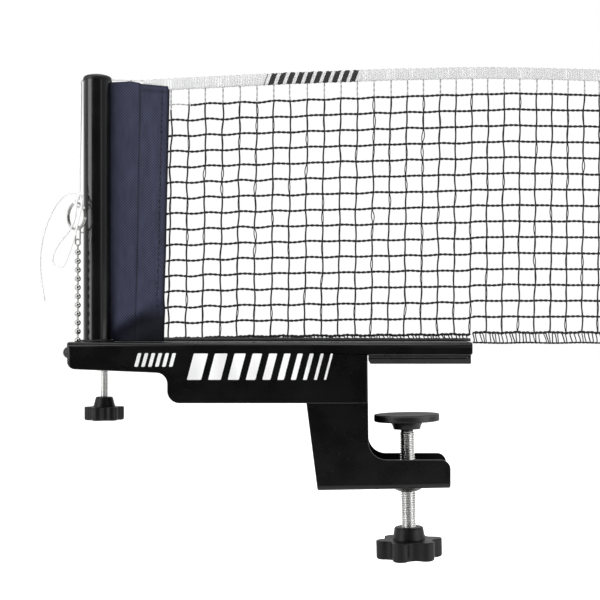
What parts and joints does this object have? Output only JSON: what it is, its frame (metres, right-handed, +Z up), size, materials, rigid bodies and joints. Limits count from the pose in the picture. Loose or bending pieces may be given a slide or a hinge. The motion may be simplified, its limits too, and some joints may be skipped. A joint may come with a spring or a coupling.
{
  "type": "table tennis net clamp",
  "caption": "Screw-on net clamp: folded steel bracket with jaw and star knobs, slotted post, ball-chain tensioner, fabric sleeve and the end of a mesh net.",
  "frame": {"origin": "on the table's top surface, which is the underside of the upper jaw pad, plumb above the point where the clamp screw crosses its nut", "axes": "+X towards the table and along the net, +Y from the outer side plate to the far one, +Z up along the post and the clamp screw"},
  "size_m": [0.3011, 0.04, 0.2625],
  "materials": {
    "bracket_paint": "satin black powder coat",
    "post_paint": "semi-gloss black lacquer",
    "black_zinc": "black passivated",
    "zinc_steel": "bright zinc plate",
    "nickel": "bright nickel plate",
    "brass": "turned",
    "black_plastic": "moulded, fine grain",
    "knob_plastic": "moulded, satin",
    "rod_plastic": "extruded",
    "pad_rubber": "smooth, dull",
    "pad_facing": "dull facing",
    "navy_fabric": "plain woven polyester",
    "net_thread": "twisted nylon mesh",
    "white_tape": "ribbed woven tape",
    "white_cord": "braided nylon"
  },
  "bodies": {
    "bracket": {"arm_channel": "bracket_paint", "jaw_channel": "bracket_paint", "jaw_nut": "black_zinc", "pad_carrier": "black_plastic", "upper_pad": "pad_rubber", "pad_rivets": "black_zinc", "end_rivets": "black_zinc", "nut_bracket": "zinc_steel", "height_nut": "zinc_steel", "post_guide_bush": "black_plastic"},
    "post": {"post_tube": "post_paint", "post_cap": "black_plastic", "post_foot": "black_plastic", "sleeve_rod": "rod_plastic", "net_sleeve": "navy_fabric", "net_top_tape": "white_tape", "net_mesh": "net_thread", "net_bottom_band": "net_thread", "net_cord": "white_cord"},
    "chain": {"ball_chain": "nickel", "tension_ring": "nickel", "chain_hook": "nickel", "cord_knot": "white_cord", "cord_loop": "white_cord", "cord_tail": "white_cord"},
    "pressure_pad": {"pressure_pad": "black_plastic", "pad_facing": "pad_facing", "pad_retainer": "black_plastic"},
    "clamp_screw": {"clamp_screw": "zinc_steel", "clamp_knob": "knob_plastic", "clamp_knob_insert": "brass"},
    "height_screw": {"height_screw": "zinc_steel", "height_knob": "knob_plastic", "height_knob_insert": "brass"}
  },
  "joints": [
    {"name": "clamp_travel", "type": "slide", "parent": "bracket", "child": "pressure_pad", "axis": [-0.0192, 0, 0.9998], "range_m": [-0.0185, 0.018]},
    {"name": "clamp_screw_turn", "type": "hinge", "parent": "pressure_pad", "child": "clamp_screw", "pos_m": [-0.00047, 0, -0.0366], "axis": [-0.0192, 0, 0.9998], "range_deg": [-5332, 5188]},
    {"name": "post_lift", "type": "slide", "parent": "bracket", "child": "post", "axis": [0, 0, 1], "range_m": [0, 0.0077]},
    {"name": "height_screw_turn", "type": "hinge", "parent": "post", "child": "height_screw", "pos_m": [-0.1628, 0, 0.0031], "axis": [0, 0, 1], "range_deg": [0, 3964]},
    {"name": "chain_pull", "type": "slide", "parent": "post", "child": "chain", "axis": [0, 0, -1], "range_m": [0, 0.0093]}
  ],
  "couplings": [
    {"joint": "clamp_screw_turn", "follows": "clamp_travel", "rad_per_m": 5026.5},
    {"joint": "height_screw_turn", "follows": "post_lift", "rad_per_m": 8976}
  ]
}
